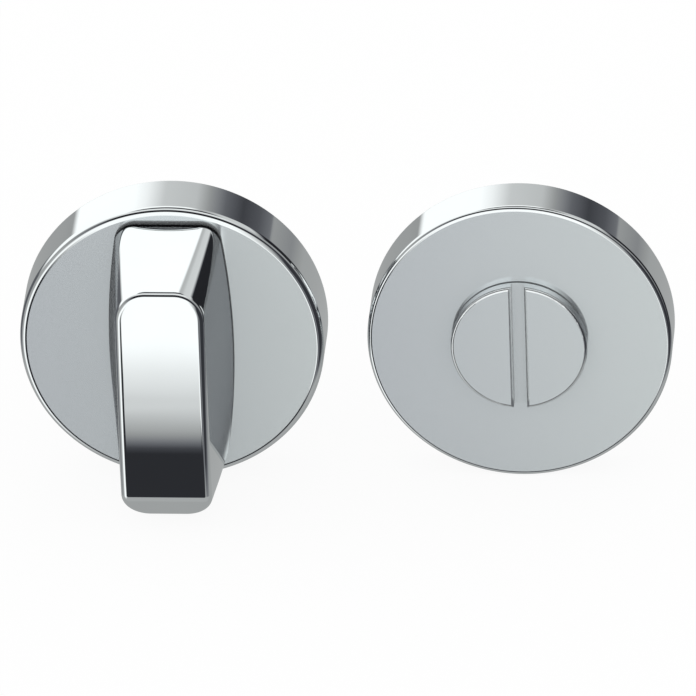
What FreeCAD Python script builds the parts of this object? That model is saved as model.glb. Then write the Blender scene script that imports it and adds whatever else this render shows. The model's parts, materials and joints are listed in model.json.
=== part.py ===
import FreeCAD, Part
import math
import os

# Bathroom lock for a door: a thumb turn on its rose, and the coin release on its own rose.
#
# Each half is modelled on a bench frame: the door's face is the plane at height 0, the axis of the
# turn is the Z axis, and Y is up on the door. place_on_door() then stands it in the part's frame:
# +Z up, the door's face in the plane y = 0, the roses facing -Y, and the origin on the axis of the
# thumb turn. Everything is in millimetres.

# Roses
ROSE_RADIUS = 25.0
ROSE_GAP = 7.0
COVER_WALL = 1.0
COVER_FACE = 1.2
COVER_INNER_EDGE = 0.5
TURN_ROSE_HEIGHT = 10.0
TURN_ROSE_EDGE = 1.2
RELEASE_ROSE_HEIGHT = 8.5
RELEASE_ROSE_EDGE = 0.8

# Base plates inside the covers
COVER_GAP = 0.15
HUB_GAP = 0.2
BASE_PLATE = 3.4
BASE_RIM_CHAMFER = 0.4
HUB_WALL = 1.4
HUB_FILLET = 0.8
RIB_WIDTH = 1.8
RIB_DROP = 1.6
RIB_END_INSET = 2.0
RIB_ANGLES = (45.0, 135.0, 225.0, 315.0)
RECESS_RADIUS = 9.6
RECESS_DEPTH = 3.4

# Snap ring between a base and its cover
RING_WIRE = 1.0
RING_HEIGHT = 2.0
RING_REACH = 0.25
RING_PLAY = 0.15
RING_OPENING = 26.0

# Fixings through the door
FIXING_INSET = 7.5
BOLT_REACH = 21.0
BOLT_RADIUS = 2.0
BOLT_SHANK_RADIUS = 1.75
BOLT_THREAD_START = 0.5
BOLT_RUN_OUT = 0.25
BOLT_HEAD_RADIUS = 3.6
BOLT_HEAD_HEIGHT = 2.2
BOLT_HEAD_EDGE = 1.3
BOLT_SEAT_HEIGHT = 5.0
BOLT_HOLE_CLEARANCE = 0.25
BOLT_TIP_CHAMFER = 0.5
BOLT_CROSS_LENGTH = 3.8
BOLT_CROSS_WIDTH = 0.9
BOLT_CROSS_DEPTH = 1.3
BOSS_RADIUS = 4.6
POST_REACH = 19.0
POST_RADIUS = 3.0
POST_THREAD_RADIUS = 1.65
POST_THREAD_DEPTH = 8.0
POST_DRILL_TIP = 0.95
POST_PRESS_RADIUS = 3.3
POST_ROOT = 0.5
POST_HEAD_RADIUS = 4.0
POST_HEAD_HEIGHT = 1.2
POST_FLAT = 7.0
POST_CHAMFER = 0.4

# Bearing of both turning pieces
NECK_RADIUS = 6.0
NECK_TAIL = 0.5
NECK_TAIL_EDGE = 0.2
RUNNING_CLEARANCE = 0.05
BUSH_WALL = 1.8
BUSH_FLANGE = 1.0
BUSH_FLANGE_REACH = 1.6
SEAT_CLEARANCE = 0.02
COLLAR_SHARE = 0.36
COLLAR_CLEARANCE = 0.3
END_PLAY = 0.2
FACE_GAP = 0.3
SOCKET_CHAMFER = 0.5

# Rings on the necks
CLIP_THICKNESS = 0.8
CLIP_HEIGHT = 1.15
CLIP_GROOVE_DEPTH = 0.4
CLIP_GROOVE_PLAY = 0.05
CLIP_BAND = 1.3
CLIP_LUG = 1.9
CLIP_LUG_HOLE = 0.55
CLIP_OPENING = 38.0
WASHER_THICKNESS = 0.4
WASHER_RADIUS = 8.9
WASHER_CLEARANCE = 0.15
STACK_PLAY = 0.1
SPRING_THICKNESS = 0.3
SPRING_RADIUS = 8.6

# Spindle and its pin
SPINDLE_SIDE = 6.0
SPINDLE_REACH = 38.0
SPINDLE_CHAMFER = 0.6
SOCKET_CLEARANCE = 0.05
SOCKET_ROOF = 1.6
PIN_RADIUS = 1.0
PIN_WALL = 0.3
PIN_HEIGHT = 5.6
PIN_INSET = 0.35
PIN_SLIT = 0.5

# Grip of the thumb turn
GRIP_HEIGHT = 20.2
GRIP_FOOT_LENGTH = 44.8
GRIP_FOOT_WIDTH = 20.5
GRIP_FOOT_END_WIDTH = 16.6
GRIP_TOP_END = 19.5
GRIP_TIP_END = 23.2
GRIP_FACE_WIDTH = 14.5
GRIP_FACE_BOW = 0.02
GRIP_FOOT_CORNER = 3.4
GRIP_FACE_CORNER = 5.3
GRIP_FACE_RADIUS = 180.0
GRIP_EDGE = 0.8
CHIN_START = 18.4
CHIN_ANGLE = 36.0
CHIN_CREASE = 1.0

# Release disc
DISC_RADIUS = 11.2
DISC_PROUD = 2.2
DISC_EDGE = 0.5
SLOT_WIDTH = 2.2
SLOT_DEPTH = 1.7
SLOT_EDGE = 0.4

# Values that follow from those above
ROSE_SPACING = 2 * ROSE_RADIUS + ROSE_GAP
COVER_INNER_RADIUS = ROSE_RADIUS - COVER_WALL
BASE_RADIUS = COVER_INNER_RADIUS - COVER_GAP
RING_CENTRE_RADIUS = BASE_RADIUS + RING_REACH - RING_WIRE / 2
COLLAR_RADIUS = COLLAR_SHARE * ROSE_RADIUS
COLLAR_HOLE_RADIUS = COLLAR_RADIUS + COLLAR_CLEARANCE
BUSH_FLANGE_RADIUS = COLLAR_RADIUS + BUSH_FLANGE_REACH
HUB_RADIUS = BUSH_FLANGE_RADIUS + HUB_WALL
BUSH_RADIUS = NECK_RADIUS + RUNNING_CLEARANCE + BUSH_WALL
SOCKET_SIDE = SPINDLE_SIDE + 2 * SOCKET_CLEARANCE
CLIP_INNER_RADIUS = NECK_RADIUS - CLIP_GROOVE_DEPTH + CLIP_GROOVE_PLAY
WASHER_HEIGHT = CLIP_HEIGHT + CLIP_THICKNESS + STACK_PLAY
SPRING_HEIGHT = WASHER_HEIGHT + WASHER_THICKNESS + STACK_PLAY
SPRING_RISE = RECESS_DEPTH - STACK_PLAY - SPRING_HEIGHT - SPRING_THICKNESS
FIXING_PLACES = (FIXING_INSET - ROSE_RADIUS, ROSE_RADIUS - FIXING_INSET)
AXIS = FreeCAD.Vector(0, 0, 1)
ORIGIN = FreeCAD.Vector(0, 0, 0)

# How far a cutting tool runs past the metal, and what counts as level
CUT_PAST = 1.0
LEVEL = 1e-6


# Helpers

def point(radius, height):
    """A point of a turned profile: distance from the axis, and height above the door."""
    return FreeCAD.Vector(radius, 0, height)


def rounded_outline(corners):
    """Closed wire through corners given as (point, radius), each rounded by a tangent arc."""
    count = len(corners)
    stretches = []
    for index in range(count):
        before = corners[index - 1][0]
        here, radius = corners[index]
        after = corners[(index + 1) % count][0]
        if radius <= 0:
            stretches.append((here, None, here))
            continue
        back = (before - here).normalize()
        ahead = (after - here).normalize()
        half = back.getAngle(ahead) / 2
        reach = radius / math.tan(half)
        middle = (back + ahead).normalize()
        crown = here + middle * (radius / math.sin(half) - radius)
        stretches.append((here + back * reach, crown, here + ahead * reach))
    edges = []
    for index in range(count):
        start, crown, end = stretches[index]
        if crown is not None:
            edges.append(Part.Arc(start, crown, end).toShape())
        following = stretches[(index + 1) % count][0]
        if (following - end).Length > LEVEL:
            edges.append(Part.LineSegment(end, following).toShape())
    return Part.Wire(edges)


def turned(corners):
    """Solid of revolution about the axis from corners (radius, height, rounding)."""
    outline = rounded_outline([(point(radius, height), rounding) for radius, height, rounding in corners])
    return Part.Face(outline).revolve(ORIGIN, AXIS, 360)


def disc(radius, bottom, top, x=0.0, y=0.0):
    """Upright cylinder between two heights."""
    return Part.makeCylinder(radius, top - bottom, FreeCAD.Vector(x, y, bottom), AXIS)


def block(length, width, bottom, top):
    """Upright box centred on the axis."""
    return Part.makeBox(length, width, top - bottom, FreeCAD.Vector(-length / 2, -width / 2, bottom))


def square_socket(bottom, top):
    """The square hole that takes the spindle, with a lead-in chamfer at its mouth."""
    wide = SOCKET_SIDE / 2 + SOCKET_CHAMFER
    mouth = Part.makePolygon([FreeCAD.Vector(x, y, bottom) for x, y in
                              ((-wide, -wide), (wide, -wide), (wide, wide), (-wide, wide), (-wide, -wide))])
    narrow = SOCKET_SIDE / 2
    throat = Part.makePolygon([FreeCAD.Vector(x, y, bottom + SOCKET_CHAMFER) for x, y in
                               ((-narrow, -narrow), (narrow, -narrow), (narrow, narrow),
                                (-narrow, narrow), (-narrow, -narrow))])
    lead_in = Part.makeLoft([mouth, throat], True, True)
    return block(SOCKET_SIDE, SOCKET_SIDE, bottom, top).fuse(lead_in)


def place_on_door(shape, centre_x):
    """Stand a bench-frame shape on the door, its axis at x = centre_x."""
    placed = shape.copy()
    placed.rotate(ORIGIN, FreeCAD.Vector(1, 0, 0), 90)
    placed.translate(FreeCAD.Vector(centre_x, 0, 0))
    return placed


# Roses

def rose_cover(height, edge, hole_radius):
    """Pressed cup with a rounded front edge, a hole for the collar and a groove for the snap ring."""
    cup = turned([
        (hole_radius, height, 0.0),
        (ROSE_RADIUS, height, edge),
        (ROSE_RADIUS, 0.0, 0.0),
        (COVER_INNER_RADIUS, 0.0, 0.0),
        (COVER_INNER_RADIUS, height - COVER_FACE, COVER_INNER_EDGE),
        (hole_radius, height - COVER_FACE, 0.0),
    ])
    groove_radius = RING_CENTRE_RADIUS + RING_WIRE / 2 + RING_PLAY
    half = RING_WIRE / 2 + RING_PLAY
    groove = disc(groove_radius, RING_HEIGHT - half, RING_HEIGHT + half)
    return cup.cut(groove)


def rose_base(height, fixing_hole_radius):
    """Cast base: plate, hub with the bush seat, ribs, fixing bosses and the clip recess behind."""
    hub_top = height - COVER_FACE - HUB_GAP
    body = turned([
        (0.0, 0.0, 0.0),
        (BASE_RADIUS, 0.0, 0.0),
        (BASE_RADIUS, BASE_PLATE, BASE_RIM_CHAMFER),
        (HUB_RADIUS, BASE_PLATE, HUB_FILLET),
        (HUB_RADIUS, hub_top, HUB_FILLET / 2),
        (0.0, hub_top, 0.0),
    ])
    rib_top = hub_top - RIB_DROP
    rib_reach = BASE_RADIUS - RIB_END_INSET
    for angle in RIB_ANGLES:
        rib = Part.makeBox(rib_reach, RIB_WIDTH, rib_top - BASE_PLATE / 2,
                           FreeCAD.Vector(0, -RIB_WIDTH / 2, BASE_PLATE / 2))
        rib.rotate(ORIGIN, AXIS, angle)
        body = body.fuse(rib)
    for x in FIXING_PLACES:
        body = body.fuse(disc(BOSS_RADIUS, BASE_PLATE / 2, BOLT_SEAT_HEIGHT, x))
    for x in FIXING_PLACES:
        body = body.cut(disc(fixing_hole_radius, -CUT_PAST, BOLT_SEAT_HEIGHT + CUT_PAST, x))
    body = body.cut(disc(RECESS_RADIUS, -CUT_PAST, RECESS_DEPTH))
    body = body.cut(disc(BUSH_RADIUS + SEAT_CLEARANCE, RECESS_DEPTH - CUT_PAST, hub_top + CUT_PAST))
    body = body.cut(disc(BUSH_FLANGE_RADIUS + SEAT_CLEARANCE, hub_top - BUSH_FLANGE, hub_top + CUT_PAST))
    half = RING_WIRE / 2 + RING_PLAY
    floor_radius = RING_CENTRE_RADIUS - RING_WIRE / 2 - RING_PLAY
    groove = disc(BASE_RADIUS + CUT_PAST, RING_HEIGHT - half, RING_HEIGHT + half)
    groove = groove.cut(disc(floor_radius, RING_HEIGHT - half, RING_HEIGHT + half))
    return body.cut(groove).removeSplitter()


def cover_ring():
    """Open ring of round spring wire, bent to a little over the base's radius."""
    section = Part.Face(Part.Wire(Part.makeCircle(
        RING_WIRE / 2, point(RING_CENTRE_RADIUS, RING_HEIGHT), FreeCAD.Vector(0, 1, 0))))
    ring = section.revolve(ORIGIN, AXIS, 360 - RING_OPENING)
    ring.rotate(ORIGIN, AXIS, 90 + RING_OPENING / 2)
    return ring


# Fixings

def fixing_bolt(x):
    """M4 pan-head bolt: head on the boss, thinner shank through the base, thread in the door."""
    bolt = turned([
        (0.0, -BOLT_REACH, 0.0),
        (BOLT_RADIUS - BOLT_TIP_CHAMFER, -BOLT_REACH, 0.0),
        (BOLT_RADIUS, -BOLT_REACH + BOLT_TIP_CHAMFER, 0.0),
        (BOLT_RADIUS, -BOLT_THREAD_START - BOLT_RUN_OUT, 0.0),
        (BOLT_SHANK_RADIUS, -BOLT_THREAD_START, 0.0),
        (BOLT_SHANK_RADIUS, BOLT_SEAT_HEIGHT, 0.0),
        (BOLT_HEAD_RADIUS, BOLT_SEAT_HEIGHT, 0.0),
        (BOLT_HEAD_RADIUS, BOLT_SEAT_HEIGHT + BOLT_HEAD_HEIGHT, BOLT_HEAD_EDGE),
        (0.0, BOLT_SEAT_HEIGHT + BOLT_HEAD_HEIGHT, 0.0),
    ])
    head_top = BOLT_SEAT_HEIGHT + BOLT_HEAD_HEIGHT
    for length, width in ((BOLT_CROSS_LENGTH, BOLT_CROSS_WIDTH), (BOLT_CROSS_WIDTH, BOLT_CROSS_LENGTH)):
        bolt = bolt.cut(block(length, width, head_top - BOLT_CROSS_DEPTH, head_top + CUT_PAST))
    bolt.translate(FreeCAD.Vector(x, 0, 0))
    return bolt


def threaded_post(x):
    """Post tapped from its tip: flatted head on the boss, press fit in the base, round in the door."""
    thread_end = -POST_REACH + POST_THREAD_DEPTH
    post = turned([
        (0.0, thread_end + POST_DRILL_TIP, 0.0),
        (POST_THREAD_RADIUS, thread_end, 0.0),
        (POST_THREAD_RADIUS, -POST_REACH, 0.0),
        (POST_RADIUS - POST_CHAMFER, -POST_REACH, 0.0),
        (POST_RADIUS, -POST_REACH + POST_CHAMFER, 0.0),
        (POST_RADIUS, -POST_ROOT, 0.0),
        (POST_PRESS_RADIUS, 0.0, 0.0),
        (POST_PRESS_RADIUS, BOLT_SEAT_HEIGHT, 0.0),
        (POST_HEAD_RADIUS, BOLT_SEAT_HEIGHT, 0.0),
        (POST_HEAD_RADIUS, BOLT_SEAT_HEIGHT + POST_HEAD_HEIGHT, 0.0),
        (0.0, BOLT_SEAT_HEIGHT + POST_HEAD_HEIGHT, 0.0),
    ])
    head = block(POST_FLAT, 4 * POST_HEAD_RADIUS, BOLT_SEAT_HEIGHT, BOLT_SEAT_HEIGHT + 2 * POST_HEAD_HEIGHT)
    shank = disc(POST_HEAD_RADIUS * 2, -POST_REACH, BOLT_SEAT_HEIGHT)
    post = post.common(head.fuse(shank))
    post.translate(FreeCAD.Vector(x, 0, 0))
    return post


# Bearing pieces

def bush(height):
    """Flanged plastic bearing pressed into the hub from the front."""
    hub_top = height - COVER_FACE - HUB_GAP
    bore = NECK_RADIUS + RUNNING_CLEARANCE
    return turned([
        (bore, RECESS_DEPTH, 0.0),
        (BUSH_RADIUS, RECESS_DEPTH, 0.0),
        (BUSH_RADIUS, hub_top - BUSH_FLANGE, 0.0),
        (BUSH_FLANGE_RADIUS, hub_top - BUSH_FLANGE, 0.0),
        (BUSH_FLANGE_RADIUS, hub_top, 0.0),
        (bore, hub_top, 0.0),
    ])


def flat_washer():
    """Plain washer between the circlip and the spring washer."""
    inner = NECK_RADIUS + WASHER_CLEARANCE
    return turned([
        (inner, WASHER_HEIGHT, 0.0),
        (WASHER_RADIUS, WASHER_HEIGHT, 0.0),
        (WASHER_RADIUS, WASHER_HEIGHT + WASHER_THICKNESS, 0.0),
        (inner, WASHER_HEIGHT + WASHER_THICKNESS, 0.0),
    ])


def spring_washer():
    """Dished washer, its rim on the flat washer and its crown against the bush."""
    inner = NECK_RADIUS + 2 * WASHER_CLEARANCE
    return turned([
        (SPRING_RADIUS, SPRING_HEIGHT, 0.0),
        (SPRING_RADIUS, SPRING_HEIGHT + SPRING_THICKNESS, 0.0),
        (inner, SPRING_HEIGHT + SPRING_THICKNESS + SPRING_RISE, 0.0),
        (inner, SPRING_HEIGHT + SPRING_RISE, 0.0),
    ])


def circlip():
    """Retaining ring, open at the top, with a plier hole in each of its two lugs."""
    top = CLIP_HEIGHT + CLIP_THICKNESS
    outer = CLIP_INNER_RADIUS + CLIP_BAND
    ring = disc(outer, CLIP_HEIGHT, top)
    lug_place = CLIP_INNER_RADIUS + CLIP_LUG / 2 + CLIP_GROOVE_PLAY
    lug_angle = math.radians(CLIP_OPENING / 2) + CLIP_LUG / 2 / lug_place
    lugs = []
    for side in (-1, 1):
        x = side * lug_place * math.sin(lug_angle)
        y = lug_place * math.cos(lug_angle)
        lugs.append((x, y))
        ring = ring.fuse(disc(CLIP_LUG / 2, CLIP_HEIGHT, top, x, y))
    ring = ring.cut(disc(CLIP_INNER_RADIUS, CLIP_HEIGHT - CUT_PAST, top + CUT_PAST))
    for x, y in lugs:
        ring = ring.cut(disc(CLIP_LUG_HOLE, CLIP_HEIGHT - CUT_PAST, top + CUT_PAST, x, y))
    half = math.radians(CLIP_OPENING / 2)
    far = 2 * outer
    below = CLIP_HEIGHT - CUT_PAST
    corners = [FreeCAD.Vector(0, 0, below)]
    for side in (1, -1):
        corners.append(FreeCAD.Vector(side * far * math.sin(half), far * math.cos(half), below))
    wedge = Part.Face(Part.makePolygon(corners + corners[:1])).extrude(AXIS * (CLIP_THICKNESS + 2 * CUT_PAST))
    return ring.cut(wedge).removeSplitter()


def neck(height):
    """Turned neck below a collar: from the collar's seat down to the tail, with the clip groove."""
    seat = height - COVER_FACE - HUB_GAP + END_PLAY
    groove_bottom = CLIP_HEIGHT - CLIP_GROOVE_PLAY
    groove_top = CLIP_HEIGHT + CLIP_THICKNESS + CLIP_GROOVE_PLAY
    groove_radius = NECK_RADIUS - CLIP_GROOVE_DEPTH
    return turned([
        (0.0, NECK_TAIL, 0.0),
        (NECK_RADIUS, NECK_TAIL, NECK_TAIL_EDGE),
        (NECK_RADIUS, groove_bottom, 0.0),
        (groove_radius, groove_bottom, 0.0),
        (groove_radius, groove_top, 0.0),
        (NECK_RADIUS, groove_top, 0.0),
        (NECK_RADIUS, seat, 0.0),
        (COLLAR_RADIUS, seat, 0.0),
        (COLLAR_RADIUS, height + FACE_GAP, 0.0),
        (0.0, height + FACE_GAP, 0.0),
    ])


# Spindle

def cross_bar(radius, length):
    """Round bar across the neck at the pin's height."""
    start = FreeCAD.Vector(-length / 2, 0, PIN_HEIGHT)
    return Part.makeCylinder(radius, length, start, FreeCAD.Vector(1, 0, 0))


def pin_hole():
    """Hole for the pin, right through the neck."""
    return cross_bar(PIN_RADIUS + SEAT_CLEARANCE, 4 * NECK_RADIUS)


def roll_pin():
    """Slotted tube of spring steel, its ends just inside the neck."""
    length = 4 * NECK_RADIUS
    slit = Part.makeBox(length, PIN_SLIT, 2 * PIN_RADIUS,
                        FreeCAD.Vector(-length / 2, -PIN_SLIT / 2, PIN_HEIGHT))
    tube = cross_bar(PIN_RADIUS, 2 * (NECK_RADIUS - PIN_INSET)).cut(cross_bar(PIN_RADIUS - PIN_WALL, length))
    return tube.cut(slit)


def spindle_top():
    """Height of the spindle's inner end, just under the socket's roof."""
    return TURN_ROSE_HEIGHT - SOCKET_CLEARANCE


def spindle():
    """Square drive bar with chamfered ends and a cross hole for the pin."""
    bar = block(SPINDLE_SIDE, SPINDLE_SIDE, -SPINDLE_REACH, spindle_top())
    ends = [edge for edge in bar.Edges if edge.BoundBox.ZLength < LEVEL]
    return bar.makeChamfer(SPINDLE_CHAMFER, ends).cut(pin_hole())


# Thumb turn

def grip_outline(width, end_width, top_end, tip_end, height):
    """Plan outline of the grip: bowed sides between straight ends, corners still sharp."""
    half = width / 2
    end_half = end_width / 2
    top_right = FreeCAD.Vector(end_half, top_end, height)
    top_left = FreeCAD.Vector(-end_half, top_end, height)
    tip_right = FreeCAD.Vector(end_half, -tip_end, height)
    tip_left = FreeCAD.Vector(-end_half, -tip_end, height)
    middle = (top_end - tip_end) / 2
    right = Part.Arc(top_right, FreeCAD.Vector(half, middle, height), tip_right).toShape()
    left = Part.Arc(tip_left, FreeCAD.Vector(-half, middle, height), top_left).toShape()
    tip = Part.LineSegment(tip_right, tip_left).toShape()
    top = Part.LineSegment(top_left, top_right).toShape()
    return Part.Wire([right, tip, left, top])


def grip_side_view():
    """Prism with the grip's side view: crowned front face, a narrow crease, and the slanted chin."""
    crest = TURN_ROSE_HEIGHT + FACE_GAP + GRIP_HEIGHT
    left = -GRIP_FOOT_WIDTH
    slant = math.radians(CHIN_ANGLE)
    crown_slope = math.asin(CHIN_START / GRIP_FACE_RADIUS)

    def on_crown(y):
        return FreeCAD.Vector(left, y, crest - GRIP_FACE_RADIUS + math.sqrt(GRIP_FACE_RADIUS ** 2 - y ** 2))

    down_crown = FreeCAD.Vector(0, -math.cos(crown_slope), -math.sin(crown_slope))
    down_chin = FreeCAD.Vector(0, -math.cos(slant), -math.sin(slant))
    half_turn = (slant - crown_slope) / 2
    corner = on_crown(-CHIN_START)
    reach = CHIN_CREASE * math.tan(half_turn)
    crease_start = on_crown(-CHIN_START + reach)
    crease_end = corner + down_chin * reach
    crease_crown = corner + (down_chin - down_crown).normalize() * CHIN_CREASE * (1 / math.cos(half_turn) - 1)
    start = on_crown(GRIP_FOOT_LENGTH)
    chin_end = corner + down_chin * GRIP_FOOT_LENGTH
    floor = chin_end.z - GRIP_HEIGHT
    back = FreeCAD.Vector(left, chin_end.y, floor)
    front = FreeCAD.Vector(left, start.y, floor)
    edges = [
        Part.Arc(start, on_crown(0), crease_start).toShape(),
        Part.Arc(crease_start, crease_crown, crease_end).toShape(),
        Part.LineSegment(crease_end, chin_end).toShape(),
        Part.LineSegment(chin_end, back).toShape(),
        Part.LineSegment(back, front).toShape(),
        Part.LineSegment(front, start).toShape(),
    ]
    return Part.Face(Part.Wire(edges)).extrude(FreeCAD.Vector(2 * GRIP_FOOT_WIDTH, 0, 0))


def grip():
    """Cast grip: drafted block on a bowed foot, its corners rounder toward the crowned front face, and a
    slanted chin at its tip."""
    foot = TURN_ROSE_HEIGHT + FACE_GAP
    crest = foot + GRIP_HEIGHT
    foot_end = GRIP_FOOT_LENGTH / 2
    lower = grip_outline(GRIP_FOOT_WIDTH, GRIP_FOOT_END_WIDTH, foot_end, foot_end, foot)
    upper = grip_outline(GRIP_FACE_WIDTH + GRIP_FACE_BOW, GRIP_FACE_WIDTH, GRIP_TOP_END, GRIP_TIP_END, crest)
    body = Part.makeLoft([lower, upper], True, True)
    uprights = [edge for edge in body.Edges if edge.BoundBox.ZLength > GRIP_HEIGHT / 2]
    body = body.makeFillet(GRIP_FOOT_CORNER, GRIP_FACE_CORNER, uprights)
    body = body.common(grip_side_view())
    rim = [edge for edge in body.Edges if edge.BoundBox.ZMin > foot + GRIP_HEIGHT / 2]
    crease = [edge for edge in rim if edge.BoundBox.YLength < CHIN_CREASE / 100
              and abs(edge.CenterOfMass.y + CHIN_START) < 2 * CHIN_CREASE]
    around = [edge for edge in rim if not any(edge.isSame(line) for line in crease)]
    return body.makeFillet(GRIP_EDGE, around)


def thumb_turn():
    """Grip, collar and neck in one casting, with the spindle's socket and the pin's hole."""
    casting = grip().fuse(neck(TURN_ROSE_HEIGHT))
    casting = casting.cut(square_socket(NECK_TAIL, TURN_ROSE_HEIGHT))
    return casting.cut(pin_hole()).removeSplitter()


# Release disc

def release_disc():
    """Disc with a rounded rim and a coin slot right across it, on the same neck as the turn."""
    foot = RELEASE_ROSE_HEIGHT + FACE_GAP
    face = RELEASE_ROSE_HEIGHT + DISC_PROUD
    plate = turned([
        (0.0, foot, 0.0),
        (DISC_RADIUS, foot, 0.0),
        (DISC_RADIUS, face, DISC_EDGE),
        (0.0, face, 0.0),
    ])
    floor = face - SLOT_DEPTH
    far = 2 * DISC_RADIUS
    half = SLOT_WIDTH / 2
    lip = FreeCAD.Vector(half + SLOT_EDGE, -far, face + SLOT_EDGE)
    slot_section = rounded_outline([
        (FreeCAD.Vector(-half, -far, floor), 0.0),
        (FreeCAD.Vector(half, -far, floor), 0.0),
        (FreeCAD.Vector(half, -far, face - SLOT_EDGE), 0.0),
        (FreeCAD.Vector(lip.x, -far, face), 0.0),
        (lip, 0.0),
        (FreeCAD.Vector(-lip.x, -far, lip.z), 0.0),
        (FreeCAD.Vector(-lip.x, -far, face), 0.0),
        (FreeCAD.Vector(-half, -far, face - SLOT_EDGE), 0.0),
    ])
    slot = Part.Face(slot_section).extrude(FreeCAD.Vector(0, 2 * far, 0))
    body = plate.cut(slot).fuse(neck(RELEASE_ROSE_HEIGHT))
    roof = floor - SOCKET_ROOF
    return body.cut(square_socket(NECK_TAIL, roof)).removeSplitter()


# Build and write

def build():
    """All pieces by node name, each with the axis that it stands on."""
    release_x = ROSE_SPACING
    bolt_hole = BOLT_RADIUS + BOLT_HOLE_CLEARANCE
    post_hole = POST_PRESS_RADIUS + SEAT_CLEARANCE
    return {
        "turn_rose_cover": (rose_cover(TURN_ROSE_HEIGHT, TURN_ROSE_EDGE, COLLAR_HOLE_RADIUS), 0),
        "turn_rose_base": (rose_base(TURN_ROSE_HEIGHT, bolt_hole), 0),
        "turn_cover_ring": (cover_ring(), 0),
        "turn_fixing_bolts": (Part.makeCompound([fixing_bolt(x) for x in FIXING_PLACES]), 0),
        "turn_bush": (bush(TURN_ROSE_HEIGHT), 0),
        "thumb_turn": (thumb_turn(), 0),
        "turn_spring_washer": (spring_washer(), 0),
        "turn_flat_washer": (flat_washer(), 0),
        "turn_circlip": (circlip(), 0),
        "spindle": (spindle(), 0),
        "spindle_roll_pin": (roll_pin(), 0),
        "release_rose_cover": (rose_cover(RELEASE_ROSE_HEIGHT, RELEASE_ROSE_EDGE, COLLAR_HOLE_RADIUS),
                               release_x),
        "release_rose_base": (rose_base(RELEASE_ROSE_HEIGHT, post_hole), release_x),
        "release_cover_ring": (cover_ring(), release_x),
        "release_threaded_posts": (Part.makeCompound([threaded_post(x) for x in FIXING_PLACES]),
                                   release_x),
        "release_bush": (bush(RELEASE_ROSE_HEIGHT), release_x),
        "release_disc": (release_disc(), release_x),
        "release_spring_washer": (spring_washer(), release_x),
        "release_flat_washer": (flat_washer(), release_x),
        "release_circlip": (circlip(), release_x),
    }


os.makedirs("parts", exist_ok=True)
for name, (shape, centre_x) in build().items():
    placed = place_on_door(shape, centre_x)
    placed.exportStep("parts/" + name + ".step")
    print(name, "solids", len(placed.Solids), "valid", placed.isValid(), "volume", round(placed.Volume, 2))
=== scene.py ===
# %% [markdown]
# # A bathroom lock: thumb turn and coin release
#
# The real thing is a pair of round chromed roses. One carries a cast thumb turn on a square spindle,
# the other a small disc with a coin slot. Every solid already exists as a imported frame, made to size.
# This lesson dresses that frame: it gives the metals their finish, adds the forms that a fast model
# leaves plain, lights the pair as a catalogue would, and places the camera. Lengths are in
# millimetres. The turn's axis goes through the origin, and the release's stands at RELEASE_X.

# %% Load the frame
import bmesh
import bpy
import json
import math
import numpy as np
from mathutils import Matrix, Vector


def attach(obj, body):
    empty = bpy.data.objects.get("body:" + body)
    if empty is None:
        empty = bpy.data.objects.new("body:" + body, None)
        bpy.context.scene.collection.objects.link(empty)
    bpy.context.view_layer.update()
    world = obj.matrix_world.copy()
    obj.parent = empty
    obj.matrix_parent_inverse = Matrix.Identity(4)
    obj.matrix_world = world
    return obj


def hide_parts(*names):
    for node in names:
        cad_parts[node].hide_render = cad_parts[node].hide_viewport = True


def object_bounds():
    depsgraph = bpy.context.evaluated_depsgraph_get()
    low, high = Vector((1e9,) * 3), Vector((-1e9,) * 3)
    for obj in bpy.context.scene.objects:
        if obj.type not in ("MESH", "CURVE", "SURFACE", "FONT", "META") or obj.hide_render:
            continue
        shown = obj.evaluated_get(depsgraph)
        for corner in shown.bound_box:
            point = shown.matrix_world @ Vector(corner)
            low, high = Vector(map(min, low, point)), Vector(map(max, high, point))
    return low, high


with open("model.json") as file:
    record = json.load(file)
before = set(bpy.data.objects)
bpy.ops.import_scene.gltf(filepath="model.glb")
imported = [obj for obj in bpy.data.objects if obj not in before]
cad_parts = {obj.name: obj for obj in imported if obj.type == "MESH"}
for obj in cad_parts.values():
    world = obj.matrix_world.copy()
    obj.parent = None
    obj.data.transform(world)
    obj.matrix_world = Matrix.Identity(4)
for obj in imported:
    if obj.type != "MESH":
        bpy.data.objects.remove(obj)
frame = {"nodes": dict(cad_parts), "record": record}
CAD_LOW, CAD_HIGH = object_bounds()
NODES = frame["nodes"]
MM = 0.001
ROSE_RADIUS, RELEASE_X = 25.0, 57.0
print("nodes", len(NODES), "size in mm", [round((b - a) / MM, 1) for a, b in zip(CAD_LOW, CAD_HIGH)])

# %% [markdown]
# ## The camera
#
# The photograph was taken with a long lens, so the two roses look almost like two parallel
# projections. A camera three metres away with a very long lens gives the same view. It looks down
# at the pair from a little to its right, and is rolled slightly, because the row of roses runs level
# in the picture although the camera stands to one side.

# %% Place the camera
CAMERA_AZIMUTH = math.radians(4.8)
CAMERA_ELEVATION = math.radians(28.54)
CAMERA_ROLL = math.radians(1.86)
CAMERA_DISTANCE = 3.0
CAMERA_LENS = 944.7
AIM_RIGHT = 28.19 * MM
AIM_UP = -5.47 * MM


def camera_axes():
    """Right, up and towards-the-viewer axes of the camera. The level right axis and the up axis
    follow from azimuth and elevation, and the roll then turns both in the picture's plane."""
    a, e, r = CAMERA_AZIMUTH, CAMERA_ELEVATION, CAMERA_ROLL
    level = np.array([math.cos(a), math.sin(a), 0.0])
    steep = np.array([-math.sin(e) * math.sin(a), math.sin(e) * math.cos(a), math.cos(e)])
    back = np.array([math.sin(a) * math.cos(e), -math.cos(a) * math.cos(e), math.sin(e)])
    right = level * math.cos(r) - steep * math.sin(r)
    up = level * math.sin(r) + steep * math.cos(r)
    return right, up, back


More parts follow.
